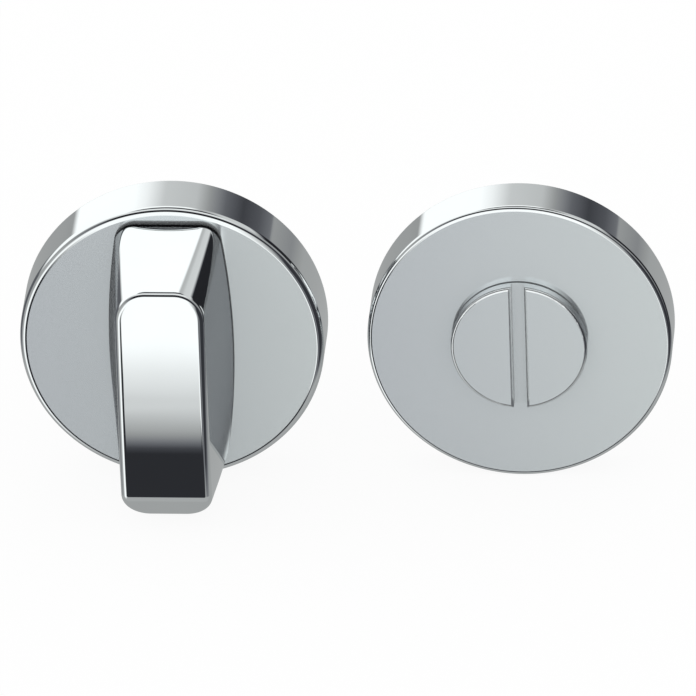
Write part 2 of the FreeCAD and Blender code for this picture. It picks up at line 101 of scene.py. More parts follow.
def place_camera():
    """A camera whose matrix has the three axes as columns, CAMERA_DISTANCE back from the aim."""
    right, up, back = camera_axes()
    data = bpy.data.cameras.new("camera")
    data.lens = CAMERA_LENS
    data.clip_start, data.clip_end = 0.1, 20.0
    camera = bpy.data.objects.new("camera", data)
    bpy.context.scene.collection.objects.link(camera)
    place = right * AIM_RIGHT + up * AIM_UP + back * CAMERA_DISTANCE
    matrix = np.eye(4)
    matrix[:3, 0], matrix[:3, 1], matrix[:3, 2], matrix[:3, 3] = right, up, back, place
    camera.matrix_world = Matrix(matrix.tolist())
    bpy.context.scene.camera = camera


place_camera()
bpy.context.scene.view_settings.view_transform = "Standard"
print("camera placed", CAMERA_LENS, "mm lens")

# %% [markdown]
# ## Small helpers for node trees
#
# Every material and group below is a few nodes in a row. Three helpers keep those rows short:
# one adds a node with its values, one joins sockets, and one makes a group with named sockets.

# %% Node helpers


def node(tree, kind, place, values=(), **settings):
    """Adds a node of that kind at a place in the tree, sets its fields and its input values."""
    made = tree.nodes.new(kind)
    made.location = place
    for name, value in settings.items():
        setattr(made, name, value)
    for name, value in dict(values).items():
        made.inputs[name].default_value = value
    return made


def join(tree, *pairs):
    """Links (output socket, input socket) pairs."""
    for start, end in pairs:
        tree.links.new(start, end)


def new_group(name, inputs, outputs):
    """An empty shader group. Inputs are (name, socket type, value), outputs (name, socket type)."""
    group = bpy.data.node_groups.new(name, "ShaderNodeTree")
    for label, kind, value in inputs:
        socket = group.interface.new_socket(label, in_out="INPUT", socket_type=kind)
        if value is not None:
            socket.default_value = value
    for label, kind in outputs:
        group.interface.new_socket(label, in_out="OUTPUT", socket_type=kind)
    start = node(group, "NodeGroupInput", (-900, 0))
    end = node(group, "NodeGroupOutput", (600, 0))
    return group, start, end


FLOAT, COLOUR, VECTOR = "NodeSocketFloat", "NodeSocketColor", "NodeSocketVector"

# %% [markdown]
# ## Polishing marks and haze
#
# Plated metal is never perfectly even. Under a lamp it shows a faint haze of fine marks, and the
# plate's brightness drifts a little. One group gives both: a roughness that varies between two
# values, and a mask for tinting the colour. Noise stretched in one direction makes the marks.

# %% A group for the haze of plated metal


def plate_haze():
    """Roughness = Low + (High - Low) x noise, with fine stretched noise for marks over broad noise
    for haze. Tint = the broad noise alone."""
    group, start, end = new_group(
        "plate_haze",
        [("Vector", VECTOR, None), ("Low", FLOAT, 0.05), ("High", FLOAT, 0.1), ("Marks", FLOAT, 900.0)],
        [("Roughness", FLOAT), ("Tint", FLOAT)])
    stretch = node(group, "ShaderNodeMapping", (-680, 120), {"Scale": (1.0, 1.0, 0.08)})
    marks = node(group, "ShaderNodeTexNoise", (-460, 120), {"Detail": 3.0, "Roughness": 0.6})
    haze = node(group, "ShaderNodeTexNoise", (-460, -120), {"Scale": 70.0, "Detail": 2.0})
    both = node(group, "ShaderNodeMath", (-220, 60), operation="MULTIPLY")
    twice = node(group, "ShaderNodeMath", (-40, 60), {1: 2.0}, operation="MULTIPLY", use_clamp=True)
    span = node(group, "ShaderNodeMapRange", (180, 60), {"From Min": 0.2, "From Max": 0.8})
    join(group,
         (start.outputs["Vector"], stretch.inputs["Vector"]), (stretch.outputs[0], marks.inputs["Vector"]),
         (start.outputs["Marks"], marks.inputs["Scale"]), (start.outputs["Vector"], haze.inputs["Vector"]),
         (marks.outputs["Fac"], both.inputs[0]), (haze.outputs["Fac"], both.inputs[1]),
         (both.outputs[0], twice.inputs[0]), (twice.outputs[0], span.inputs["Value"]),
         (start.outputs["Low"], span.inputs["To Min"]), (start.outputs["High"], span.inputs["To Max"]),
         (span.outputs["Result"], end.inputs["Roughness"]), (haze.outputs["Fac"], end.inputs["Tint"]))
    return group


PLATE_HAZE = plate_haze()
print("group", PLATE_HAZE.name)

# %% [markdown]
# ## Metals
#
# Every metal of the lock is one kind of material with its own colour and roughness: chrome plate is
# a mirror with a cool tint, bare zinc and steel are duller. So one function makes them all, and the
# haze group gives each its uneven shine.

# %% A metal
DRIFT = 0.04


def metal(name, colour, low, high):
    """Metal material: Base Color drifts by a few percent with the haze, Roughness from the group."""
    material = bpy.data.materials.new(name)
    material.use_nodes = True
    tree = material.node_tree
    shader = tree.nodes["Principled BSDF"]
    shader.inputs["Metallic"].default_value = 1.0
    place = node(tree, "ShaderNodeTexCoord", (-900, 0))
    haze = node(tree, "ShaderNodeGroup", (-680, 0), node_tree=PLATE_HAZE)
    haze.name = "haze"
    haze.inputs["Low"].default_value = low
    haze.inputs["High"].default_value = high
    tint = node(tree, "ShaderNodeMix", (-300, 200), data_type="RGBA")
    tint.name = "tint"
    tint.inputs[6].default_value = (*[c * (1 - DRIFT) for c in colour], 1.0)
    tint.inputs[7].default_value = (*[min(1.0, c * (1 + DRIFT)) for c in colour], 1.0)
    join(tree,
         (place.outputs["Object"], haze.inputs["Vector"]), (haze.outputs["Tint"], tint.inputs[0]),
         (tint.outputs[2], shader.inputs["Base Color"]),
         (haze.outputs["Roughness"], shader.inputs["Roughness"]))
    return material


# %% [markdown]
# ## Brushed fronts
#
# The flat faces of the roses and of the disc are finely brushed before plating, so they look softer
# and darker than the wall and the rounded edge. A face points straight out of the door, so its
# normal tells it apart, and the change needs no second material. Roses and disc share the effect,
# so it is a group.

# %% A group for brushed fronts
FACE_FROM, FACE_TO = 0.9990, 0.9998
MATT_SHARE = 0.25
HALF_SPACING = RELEASE_X / 2


def brushed_front():
    """Front = 1 where the normal points straight out of the door. Colour and Roughness go over from the
    plate's to the brushed ones by Front, where the brushed colour runs from Left to Right across each rose:
    painted shading, darker at the left and lighter at the right as if more light fell from the right.
    Metallic = 1 - MATT_SHARE x Front: that share scatters light like a matt surface, so that a face stays
    silver from every side."""
    group, start, end = new_group(
        "brushed_front",
        [("Vector", VECTOR, None), ("Normal", VECTOR, None), ("Plate Colour", COLOUR, None),
         ("Plate Roughness", FLOAT, None), ("Brushed Roughness", FLOAT, None),
         ("Left Colour", COLOUR, None), ("Right Colour", COLOUR, None)],
        [("Colour", COLOUR), ("Roughness", FLOAT), ("Metallic", FLOAT)])
    apart = node(group, "ShaderNodeSeparateXYZ", (-680, 200))
    where = node(group, "ShaderNodeSeparateXYZ", (-680, -200))
    front = node(group, "ShaderNodeMapRange", (-460, 200), {"From Min": -FACE_FROM, "From Max": -FACE_TO})
    across = node(group, "ShaderNodeMath", (-460, -200), {1: HALF_SPACING * MM, 2: -HALF_SPACING * MM},
                  operation="WRAP")
    share = node(group, "ShaderNodeMapRange", (-240, -200),
                 {"From Min": -ROSE_RADIUS * MM, "From Max": ROSE_RADIUS * MM})
    brushed = node(group, "ShaderNodeMix", (0, -200), data_type="RGBA")
    colour = node(group, "ShaderNodeMix", (240, 200), data_type="RGBA")
    roughness = node(group, "ShaderNodeMix", (240, 0), data_type="FLOAT")
    metallic = node(group, "ShaderNodeMath", (240, -200), {1: -MATT_SHARE, 2: 1.0}, operation="MULTIPLY_ADD")
    join(group,
         (start.outputs["Normal"], apart.inputs[0]), (apart.outputs["Y"], front.inputs["Value"]),
         (start.outputs["Vector"], where.inputs[0]), (where.outputs["X"], across.inputs[0]),
         (across.outputs[0], share.inputs["Value"]), (share.outputs["Result"], brushed.inputs[0]),
         (start.outputs["Left Colour"], brushed.inputs[6]),
         (start.outputs["Right Colour"], brushed.inputs[7]),
         (front.outputs["Result"], colour.inputs[0]), (start.outputs["Plate Colour"], colour.inputs[6]),
         (brushed.outputs[2], colour.inputs[7]), (colour.outputs[2], end.inputs["Colour"]),
         (front.outputs["Result"], roughness.inputs[0]),
         (start.outputs["Plate Roughness"], roughness.inputs[2]),
         (start.outputs["Brushed Roughness"], roughness.inputs[3]),
         (roughness.outputs[0], end.inputs["Roughness"]),
         (front.outputs["Result"], metallic.inputs[0]), (metallic.outputs[0], end.inputs["Metallic"]))
    return group


BRUSHED_FRONT = brushed_front()
print("group", BRUSHED_FRONT.name)

# %% [markdown]
# ## The brushed front in a metal
#
# The group goes between a metal's own nodes and its shader, so one material shows both finishes. The
# The face is painted a little darker at its left than at its right: painted shading for light that falls
# unevenly across it.

# %% Place the group in a metal
# painted shading: the brushed face colour is darker at the left and lighter at the right
FACE_SHADED_LEFT, FACE_LIT_RIGHT = (0.605, 0.635, 0.665, 1.0), (0.715, 0.755, 0.76, 1.0)
FACE_LOW, FACE_HIGH = 0.11, 0.12


def brush_front(material):
    """Puts the brushed front between a metal's own colour and haze and its shader, with a second,
    coarser haze for the brushed roughness."""
    tree = material.node_tree
    shader, haze, tint = (tree.nodes[name] for name in ("Principled BSDF", "haze", "tint"))
    place = node(tree, "ShaderNodeTexCoord", (-900, -400))
    satin = node(tree, "ShaderNodeGroup", (-680, -400), {"Low": FACE_LOW, "High": FACE_HIGH},
                 node_tree=PLATE_HAZE)
    front = node(tree, "ShaderNodeGroup", (-300, -200),
                 {"Left Colour": FACE_SHADED_LEFT, "Right Colour": FACE_LIT_RIGHT}, node_tree=BRUSHED_FRONT)
    join(tree,
         (place.outputs["Object"], satin.inputs["Vector"]), (place.outputs["Object"], front.inputs["Vector"]),
         (place.outputs["Normal"], front.inputs["Normal"]), (tint.outputs[2], front.inputs["Plate Colour"]),
         (haze.outputs["Roughness"], front.inputs["Plate Roughness"]),
         (satin.outputs["Roughness"], front.inputs["Brushed Roughness"]),
         (front.outputs["Colour"], shader.inputs["Base Color"]),
         (front.outputs["Roughness"], shader.inputs["Roughness"]),
         (front.outputs["Metallic"], shader.inputs["Metallic"]))


# %% [markdown]
# ## Painted shade lines
#
# A dark line is painted round the foot of the grip and on the walls of the coin slot. It is painted shade,
# standing in for the dark that the chrome mirrors at the foot and the shade inside the slot. A mask from the
# place on the object mixes the metal's colour toward black there, and for the slot the mask reads the normal
# too.

# %% Painted shade lines
# height and soft edge of the painted shade line round the grip's foot
FOOT_SHADE_TOP, SHADE_EDGE = 11.1, 0.08
# reach and normal limit of the painted shade on the coin slot's walls
SLOT_REACH, SIDEWAYS = 1.2, 0.95
# near-black colour of the painted shade lines
PAINTED_SHADE_COLOUR = (0.012, 0.012, 0.014, 1.0)


def paint_shade(material, mask):
    """Mixes a metal's colour toward near-black painted shade by a mask."""
    tree = material.node_tree
    shader = tree.nodes["Principled BSDF"]
    plate = shader.inputs["Base Color"].links[0].from_socket
    dark = node(tree, "ShaderNodeMix", (-100, 400), data_type="RGBA")
    dark.inputs[7].default_value = PAINTED_SHADE_COLOUR
    join(tree, (mask, dark.inputs[0]), (plate, dark.inputs[6]),
         (dark.outputs[2], shader.inputs["Base Color"]))


def paint_foot_shade(material):
    """A painted dark line round the grip's foot: painted shade and reflection where the chrome wall meets the
    rose. It lies between the rose and the top height set above, in millimetres in front of the door, on
    Object coordinates, with a soft edge."""
    tree = material.node_tree
    place = node(tree, "ShaderNodeTexCoord", (-1300, 500))
    parts = node(tree, "ShaderNodeSeparateXYZ", (-1100, 500))
    high, low = (FOOT_SHADE_TOP + SHADE_EDGE) * MM, (FOOT_SHADE_TOP - SHADE_EDGE) * MM
    shade = node(tree, "ShaderNodeMapRange", (-700, 500), {"From Min": -high, "From Max": -low})
    join(tree, (place.outputs["Object"], parts.inputs[0]), (parts.outputs["Y"], shade.inputs["Value"]))
    paint_shade(material, shade.outputs["Result"])


def paint_slot_shade(material):
    """Painted shade on the coin slot's two walls: within SLOT_REACH of the disc's middle, where the normal
    points sideways, the colour goes dark."""
    tree = material.node_tree
    place = node(tree, "ShaderNodeTexCoord", (-1300, 800))
    where = node(tree, "ShaderNodeSeparateXYZ", (-1100, 900))
    normal = node(tree, "ShaderNodeSeparateXYZ", (-1100, 700))
    inside = node(tree, "ShaderNodeMath", (-700, 900), {1: RELEASE_X * MM, 2: SLOT_REACH * MM},
                  operation="COMPARE")
    sideways = node(tree, "ShaderNodeMath", (-700, 700), operation="ABSOLUTE")
    flat = node(tree, "ShaderNodeMath", (-500, 700), {1: SIDEWAYS}, operation="GREATER_THAN")
    both = node(tree, "ShaderNodeMath", (-300, 800), operation="MULTIPLY")
    join(tree, (place.outputs["Object"], where.inputs[0]), (place.outputs["Normal"], normal.inputs[0]),
         (where.outputs["X"], inside.inputs[0]), (normal.outputs["X"], sideways.inputs[0]),
         (sideways.outputs[0], flat.inputs[0]), (inside.outputs[0], both.inputs[0]),
         (flat.outputs[0], both.inputs[1]))
    paint_shade(material, both.outputs[0])


# %% [markdown]
# ## The finishes
#
# Chrome covers what a hand touches: the grip is a full mirror, the roses and the disc have brushed
# fronts. Bare zinc, sprung steel, zinc plate and white acetal finish the hidden pieces. Acetal is a
# plastic, so it takes the same material with no metal in it.

# %% The finishes
polished_chrome = metal("polished_chrome", (0.88, 0.90, 0.905), 0.02, 0.05)
# painted shade line round the grip's foot
paint_foot_shade(polished_chrome)
rose_chrome = metal("rose_chrome", (0.86, 0.88, 0.885), 0.03, 0.05)
disc_chrome = metal("disc_chrome", (0.84, 0.86, 0.865), 0.16, 0.2)
for chrome in (rose_chrome, disc_chrome):
    brush_front(chrome)
# painted shade on the coin slot's walls
paint_slot_shade(disc_chrome)
cast_zinc = metal("cast_zinc", (0.46, 0.47, 0.48), 0.38, 0.55)
spring_steel = metal("spring_steel", (0.20, 0.20, 0.21), 0.25, 0.40)
plated_steel = metal("plated_steel", (0.60, 0.62, 0.66), 0.18, 0.32)
acetal = metal("acetal", (0.80, 0.79, 0.74), 0.35, 0.45)
acetal.node_tree.nodes["Principled BSDF"].inputs["Metallic"].default_value = 0.0
print("materials", len(bpy.data.materials))

# %% [markdown]
# ## Which piece wears what
#
# The record names a material slot for every solid. The coin disc shares the thumb turn's slot, but its
# faces are brushed like the roses'. Even normals keep the flats of the fast model looking flat.

# %% Dress the nodes
FINISH = {"cover_chrome": rose_chrome, "turn_chrome": polished_chrome, "cast_zinc": cast_zinc,
          "bearing_plastic": acetal, "spring_steel": spring_steel, "plated_steel": plated_steel}
for part in frame["record"]["subparts"]:
    thing = NODES[part["node"]]
    thing.data.materials.clear()
    thing.data.materials.append(FINISH[part["material_slot"]])
    thing.modifiers.new("even_normals", "WEIGHTED_NORMAL").keep_sharp = True
NODES["release_disc"].data.materials[0] = disc_chrome

# %% [markdown]
# ## Surfaces from numbers
#
# A fast model's triangles bend reflections at every edge. Pieces that a viewer looks into, such as
# the roses and the grip, are therefore worked out again as fine even surfaces, on the sizes of the
# solids. The bench frame of the source is used: height is the distance in front of the door.

# %% Mesh helpers
MERGE = 1e-6
SHARP_ANGLE = math.radians(35)


def add_piece(name, points, faces, material, body, node_name):
    """A piece that stands in for a solid, from points in millimetres on the bench frame (x, up,
    height), stood on the door as (x, -height, up), its doubles merged, its open rings closed and its
    faces turned outward."""
    points = np.asarray(points, float)
    placed = np.stack([points[:, 0], -points[:, 2], points[:, 1]], axis=1) * MM
    mesh = bpy.data.meshes.new(name)
    mesh.from_pydata(placed.tolist(), [], faces)
    work = bmesh.new()
    work.from_mesh(mesh)
    bmesh.ops.remove_doubles(work, verts=work.verts, dist=MERGE)
    bmesh.ops.dissolve_degenerate(work, edges=work.edges, dist=MERGE / 10)
    bmesh.ops.holes_fill(work, edges=[edge for edge in work.edges if edge.is_boundary])
    bmesh.ops.recalc_face_normals(work, faces=work.faces)
    work.to_mesh(mesh)
    work.free()
    mesh.polygons.foreach_set("use_smooth", [True] * len(mesh.polygons))
    mesh.set_sharp_from_angle(angle=SHARP_ANGLE)
    mesh.materials.append(material)
    thing = bpy.data.objects.new(name, mesh)
    bpy.context.scene.collection.objects.link(thing)
    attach(thing, body)
    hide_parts(node_name)
    loops = np.zeros(len(mesh.loops), int)
    mesh.loops.foreach_get("edge_index", loops)
    uses = np.bincount(loops, minlength=len(mesh.edges))
    print(name, len(mesh.polygons), "faces,", int((uses != 2).sum()), "edges not shared by two faces")


def grid_faces(rows, columns, start=0, wrap_rows=False, wrap_columns=False):
    """Quads of a rows x columns grid of points, wrapped round where asked."""
    r = np.arange(rows if wrap_rows else rows - 1)
    c = np.arange(columns if wrap_columns else columns - 1)
    r, c = np.meshgrid(r, c, indexing="ij")
    right = (c + 1) % columns
    here, below = r * columns, (r + 1) % rows * columns
    quads = np.stack([here + c, here + right, below + right, below + c], axis=-1)
    return (quads.reshape(-1, 4) + start).tolist()


# %% [markdown]
# ## Turning a profile
#
# Roses are round, so each is one profile turned about its axis. Every corner of the profile gets its
# own rounding, and two points close beside each arc hold the flats flat when normals are shared.

# %% Turned profiles
FINE_STEPS, COARSE_STEPS, FINE_ROUNDING = 16, 4, 0.6
HOLD = 0.03
TURNS = 512


def rounded_profile(corners):
    """Closed profile through (radius, height, rounding) corners. Each corner becomes an arc tangent
    to both its edges, with a holding point a little way along each edge, so that the shading of the
    flat stretches stays flat."""
    corners = [np.array(c, float) for c in corners]
    points = []
    for index, (here, before) in enumerate(zip(corners, corners[-1:] + corners[:-1])):
        after = corners[(index + 1) % len(corners)]
        back, ahead = before[:2] - here[:2], after[:2] - here[:2]
        back, ahead = back / np.linalg.norm(back), ahead / np.linalg.norm(ahead)
        half = math.acos(np.clip(back @ ahead, -1, 1)) / 2
        reach = here[2] / math.tan(half)
        middle = (back + ahead) / np.linalg.norm(back + ahead)
        centre = here[:2] + middle * here[2] / math.sin(half)
        first, last = here[:2] + back * reach - centre, here[:2] + ahead * reach - centre
        sweep = math.pi - 2 * half
        steps = FINE_STEPS if here[2] >= FINE_ROUNDING else COARSE_STEPS
        share = np.linspace(0, 1, steps + 1)[:, None]
        arc = (np.sin((1 - share) * sweep) * first + np.sin(share * sweep) * last) / math.sin(sweep)
        points += [here[:2] + back * (reach + HOLD), *(centre + arc), here[:2] + ahead * (reach + HOLD)]
    return np.array(points)


def turned_surface(profile, centre_x):
    """Profile (radius, height) carried round the axis at centre_x: x = centre + r sin a, up = r cos a."""
    angle = np.linspace(0, 2 * math.pi, TURNS, endpoint=False)
    radius, height = profile[:, :1], profile[:, 1:]
    x = centre_x + radius * np.sin(angle)
    up = radius * np.cos(angle)
    points = np.stack([x, up, np.broadcast_to(height, x.shape)], axis=-1)
    return points.reshape(-1, 3), grid_faces(len(profile), TURNS, wrap_rows=True, wrap_columns=True)


# %% [markdown]
# ## The rose covers
#
# Each rose is a pressed cup: a flat face with a hole for the collar, a rounded front edge, a
# straight wall and a rolled-in groove that snaps over the base's ring. The cup is one closed
# profile turned about the axis, so its bright edge is a true arc that gathers the lamps in a line.

# %% Rose covers
COVER_WALL, COVER_FACE, INNER_EDGE = 1.0, 1.2, 0.5
HOLE_RADIUS, HOLE_EDGE, BACK_EDGE = 9.3, 0.12, 0.15
GROOVE_RADIUS, GROOVE_LOW, GROOVE_HIGH, GROOVE_EDGE = 24.25, 1.35, 2.65, 0.08


def rose_cover(name, node_name, centre_x, height, edge):
    """Closed profile of the cup, from the hole's front edge over the rim and back inside."""
    inner = ROSE_RADIUS - COVER_WALL
    profile = rounded_profile([
        (HOLE_RADIUS, height, HOLE_EDGE), (ROSE_RADIUS, height, edge), (ROSE_RADIUS, 0, BACK_EDGE),
        (inner, 0, BACK_EDGE), (inner, GROOVE_LOW, GROOVE_EDGE), (GROOVE_RADIUS, GROOVE_LOW, GROOVE_EDGE),
        (GROOVE_RADIUS, GROOVE_HIGH, GROOVE_EDGE), (inner, GROOVE_HIGH, GROOVE_EDGE),
        (inner, height - COVER_FACE, INNER_EDGE), (HOLE_RADIUS, height - COVER_FACE, HOLE_EDGE)])
    points, faces = turned_surface(profile, centre_x)
    add_piece(name, points, faces, rose_chrome, "root", node_name)


rose_cover("turn_rose", "turn_rose_cover", 0.0, 10.0, 1.2)
rose_cover("release_rose", "release_rose_cover", RELEASE_X, 8.5, 0.8)

# %% [markdown]
# ## The grip
#
# The thumb turn is the part a hand meets: a tapered block with bowed sides, a crowned front face
# that falls away in a slanted chin, and one rounded edge all the way round. Its outline at any
# height is worked out in closed form. Then a ball of the edge's radius is rolled along between the
# wall and the face: where it touches both is where the rounding starts and ends.

# %% Sizes of the grip
FOOT, RISE = 10.3, 20.2
FOOT_SHAPE = dict(mid=10.25, end=8.3, top=22.4, tip=-22.4, corner=3.4)
FACE_SHAPE = dict(mid=7.26, end=7.25, top=19.5, tip=-23.2, corner=5.3)
CROWN, CREASE, CHIN_START, CHIN_SLOPE = 180.0, 1.0, 18.4, math.radians(36)
EDGE, FOOT_EDGE = 1.25, 0.15


def front_face(y):
    """Height and slope of the front face at y: an arc of radius CROWN, then past a small tangent
    arc of radius CREASE the straight chin."""
    crest = FOOT + RISE
    crown_angle = math.asin(CHIN_START / CROWN)
    corner = crest - CROWN + math.sqrt(CROWN ** 2 - CHIN_START ** 2)
    half = (CHIN_SLOPE - crown_angle) / 2
    reach = CREASE * math.tan(half)
    start, end = -CHIN_START + reach * math.cos(crown_angle), -CHIN_START - reach * math.cos(CHIN_SLOPE)
    centre_y = end + CREASE * math.sin(CHIN_SLOPE)
    centre_h = corner - reach * math.sin(CHIN_SLOPE) - CREASE * math.cos(CHIN_SLOPE)
    crown = np.sqrt(CROWN ** 2 - np.clip(y, -CROWN, CROWN) ** 2)
    arc = np.sqrt(np.maximum(CREASE ** 2 - (y - centre_y) ** 2, 1e-9))
    height = np.where(y > start, crest - CROWN + crown,
                      np.where(y > end, centre_h + arc, corner + (y + CHIN_START) * math.tan(CHIN_SLOPE)))
    slope = np.where(y > start, -y / crown, np.where(y > end, -(y - centre_y) / arc, math.tan(CHIN_SLOPE)))
    return height, slope


print("front face", front_face(np.array([0.0, -CHIN_START, FACE_SHAPE["tip"]]))[0].round(2), "mm high")

# %% [markdown]
# ## The outline at any height
#
# The outline changes evenly from the foot to the front face: it narrows, its corners grow, and the
# whole shape leans toward the chin. Each side is one large arc and each corner a small one, and the
# points where they meet follow from the distance between their centres.

# %% Outline of the grip
CORNER_POINTS, SIDE_POINTS = 20, 150


def side_outline(share):
    """Right half of the outline, each point at its own share of the rise: a corner arc, the bowed
    side, a corner arc. Each corner arc is tangent to the straight end and to the side's large arc.
    Returns x, y and the outline's normal."""
    mix = {k: FOOT_SHAPE[k] + (FACE_SHAPE[k] - FOOT_SHAPE[k]) * share for k in FOOT_SHAPE}
    middle, half = (mix["top"] + mix["tip"]) / 2, (mix["top"] - mix["tip"]) / 2
    sag, radius = mix["mid"] - mix["end"], mix["corner"]
    bow = (half ** 2 + sag ** 2) / (2 * sag)
    centre = mix["mid"] - bow

    def corner(up):
        y = up - np.sign(up) * radius
        x = centre + np.sqrt((bow - radius) ** 2 - (y - middle) ** 2)
        return x, y, np.arctan2(y - middle, x - centre)

    top_x, top_y, top_turn = corner(mix["top"])
    tip_x, tip_y, tip_turn = corner(mix["tip"])
    round_steps = np.linspace(0, 1, CORNER_POINTS)
    side_steps = np.linspace(0, 1, SIDE_POINTS + 2)[1:-1]
    u = np.concatenate([round_steps, side_steps * 0, round_steps * 0])
    v = np.concatenate([round_steps * 0, side_steps, round_steps * 0])
    w = np.concatenate([round_steps * 0, side_steps * 0, round_steps])
    quarter = math.pi / 2
    turn_top = quarter + (top_turn - quarter) * u
    turn_side = top_turn + (tip_turn - top_turn) * v
    turn_tip = tip_turn + (-quarter - tip_turn) * w
    index = np.arange(len(share))
    first, last = index < CORNER_POINTS, index >= CORNER_POINTS + SIDE_POINTS
    turn = np.where(first, turn_top, np.where(last, turn_tip, turn_side))
    radius = np.where(first | last, radius, bow)
    base_x = np.where(first, top_x, np.where(last, tip_x, centre))
    base_y = np.where(first, top_y, np.where(last, tip_y, middle))
    return base_x + radius * np.cos(turn), base_y + radius * np.sin(turn), np.cos(turn), np.sin(turn)


def wall(share):
    """Points and outward normals of the drafted wall, each point at its own share of the rise."""
    step = 1e-4
    x, y, nx, ny = side_outline(share)
    ahead = side_outline(share + step)
    lean = (nx * (ahead[0] - x) + ny * (ahead[1] - y)) / step / RISE
    normal = np.stack([nx, ny, -lean], axis=-1)
    normal /= np.linalg.norm(normal, axis=-1, keepdims=True)
    return np.stack([x, y, FOOT + RISE * share], axis=-1), normal


foot_outline = wall(np.zeros(2 * CORNER_POINTS + SIDE_POINTS))[0]
print("foot", round(2 * foot_outline[:, 0].max(), 1), "x", round(np.ptp(foot_outline[:, 1]), 1), "mm")

# %% [markdown]
# ## The rolled rim
#
# The wall leans and the front face is crowned, so the rounding between them has no simple formula.
# The ball's centre is found step by step: a guess at the height, the ball's contact with the face
# under it, then a better guess. Forty rounds are far more than it needs.

# %% Roll the ball along the rim
EDGE_STEPS, FOOT_STEPS = 13, 5
FIRST_GUESS, ROUNDS, TOUCH_ROUNDS = 0.9, 40, 60
WALL_ROWS = (0.004, 0.02, 0.12, 0.3, 0.5, 0.7, 0.88, 0.98, 0.996)


def rim_contacts():
    """For each outline point, the share of the rise where the ball touches the wall, its centre, and
    the y where it touches the face. The ball's centre lies EDGE inside the wall and EDGE inside the
    face: the face contact follows from y = centre + EDGE n(y), and the share from the heights."""
    share = np.full(2 * CORNER_POINTS + SIDE_POINTS, FIRST_GUESS)
    touch = None
    for _ in range(ROUNDS):
        point, normal = wall(share)
        centre = point - EDGE * normal
        touch = centre[:, 1] if touch is None else touch
        for _ in range(TOUCH_ROUNDS):
            slope = front_face(touch)[1]
            touch = centre[:, 1] - EDGE * slope / np.sqrt(1 + slope ** 2)
        height, slope = front_face(touch)
        share = share + (height - EDGE / np.sqrt(1 + slope ** 2) - centre[:, 2]) / RISE
    return share, centre, touch


def grip_rows():
    """Rows of the right half from the foot to the face: a tiny rounding at the foot, the wall, the
    ball's arc from the wall's normal to the face's normal."""
    share, centre, touch = rim_contacts()
    start = FOOT_EDGE / RISE
    low, normal = wall(np.full(len(share), start))
    rows = []
    for turn in np.linspace(0, math.pi / 2, FOOT_STEPS):
        inset = FOOT_EDGE * (1 - math.sin(turn))
        rows.append(low - np.stack([normal[:, 0] * inset, normal[:, 1] * inset,
                                    np.full(len(share), FOOT_EDGE * math.cos(turn))], axis=-1))
    for part in WALL_ROWS:
        rows.append(wall(start + (share - start) * part)[0])
    side = wall(share)[1]
    slope = front_face(touch)[1]
    face = np.stack([0 * slope, -slope, 1 + 0 * slope], axis=-1)
    face /= np.linalg.norm(face, axis=-1, keepdims=True)
    between = np.arccos(np.clip((side * face).sum(axis=-1), -1, 1))[:, None]
    for part in np.linspace(0, 1, EDGE_STEPS):
        arm = (np.sin((1 - part) * between) * side + np.sin(part * between) * face) / np.sin(between)
        rows.append(centre + EDGE * arm)
    rows[-1][:, 2] = front_face(rows[-1][:, 1])[0]
    return np.array(rows)


GRIP_ROWS = grip_rows()
print("rows from foot to face", len(GRIP_ROWS), "points in each", GRIP_ROWS.shape[1])

# %% [markdown]
# ## Both halves and the lids
#
# The right half is mirrored to close each ring. Two grids of straight joins across cover the foot and
# the crowned face. The collar, the neck and the square socket below the foot come from the solid.

# %% Close the grip
ACROSS = np.array([-1, -0.99, -0.9, -0.5, 0, 0.5, 0.9, 0.99, 1.0])


def ring(row):
    """One closed ring from a row of the right half: right side down, across the tip, left side up,
    across the top."""
    across = ACROSS[1:-1]
    flip = np.array([-1.0, 1.0, 1.0])
    tip = row[-1] * np.stack([across[::-1], np.ones(len(across)), np.ones(len(across))], axis=-1)
    top = row[0] * np.stack([across, np.ones(len(across)), np.ones(len(across))], axis=-1)
    return np.concatenate([row, tip, row[::-1] * flip, top])


def lid(row, on_face):
    """Grid that closes a ring: each pair of side points is joined straight across."""
    x = row[:, :1] * ACROSS
    y = np.broadcast_to(row[:, 1:2], x.shape)
    h = front_face(y)[0] if on_face else np.broadcast_to(row[:, 2:], x.shape)
    return np.stack([x, y, h], axis=-1).reshape(-1, 3)


def cad_part(node_name, keep):
    """Corner points (bench frame, mm) and triangles of a solid's mesh where keep(triangle centres,
    triangle corners) is true."""
    mesh = NODES[node_name].data
    mesh.calc_loop_triangles()
    flat = np.zeros(len(mesh.vertices) * 3)
    mesh.vertices.foreach_get("co", flat)
    corners = flat.reshape(-1, 3) / MM
    bench = np.stack([corners[:, 0], corners[:, 2], -corners[:, 1]], axis=-1)
    triangles = np.zeros(len(mesh.loop_triangles) * 3, int)
    mesh.loop_triangles.foreach_get("vertices", triangles)
    triangles = triangles.reshape(-1, 3)
    return bench, triangles[keep(bench[triangles])]


def thumb_turn():
    """The grip's rings and lids, with the collar, neck and socket taken over from the solid."""
    rows = GRIP_ROWS
    rings = np.array([ring(row) for row in rows])
    count = rings.shape[1]
    foot_lid, face_lid = lid(rows[0], False), lid(rows[-1], True)
    neck, triangles = cad_part("thumb_turn", lambda c: c[:, :, 2].min(axis=1) < FOOT - 0.01)
    points = np.concatenate([rings.reshape(-1, 3), foot_lid, face_lid, neck])
    start = rings.shape[0] * count
    faces = grid_faces(len(rows), count, wrap_columns=True)
    faces += grid_faces(rows.shape[1], len(ACROSS), start)
    faces += grid_faces(rows.shape[1], len(ACROSS), start + len(foot_lid))
    faces += (triangles + start + 2 * len(foot_lid)).tolist()
    add_piece("turn_grip", points, faces, polished_chrome, "thumb_turn_body", "thumb_turn")


thumb_turn()

# %% [markdown]
# ## Threads on the fixing bolts
#
# A thread is a profile that climbs as it turns: one pitch for each turn. The radius at a height and
# an angle is read from a trapezoid wave of height + pitch x angle / full turn. It fades in below the
# plain shank and is cut off by the cone at the tip. The heads with their cross are the solid's own.

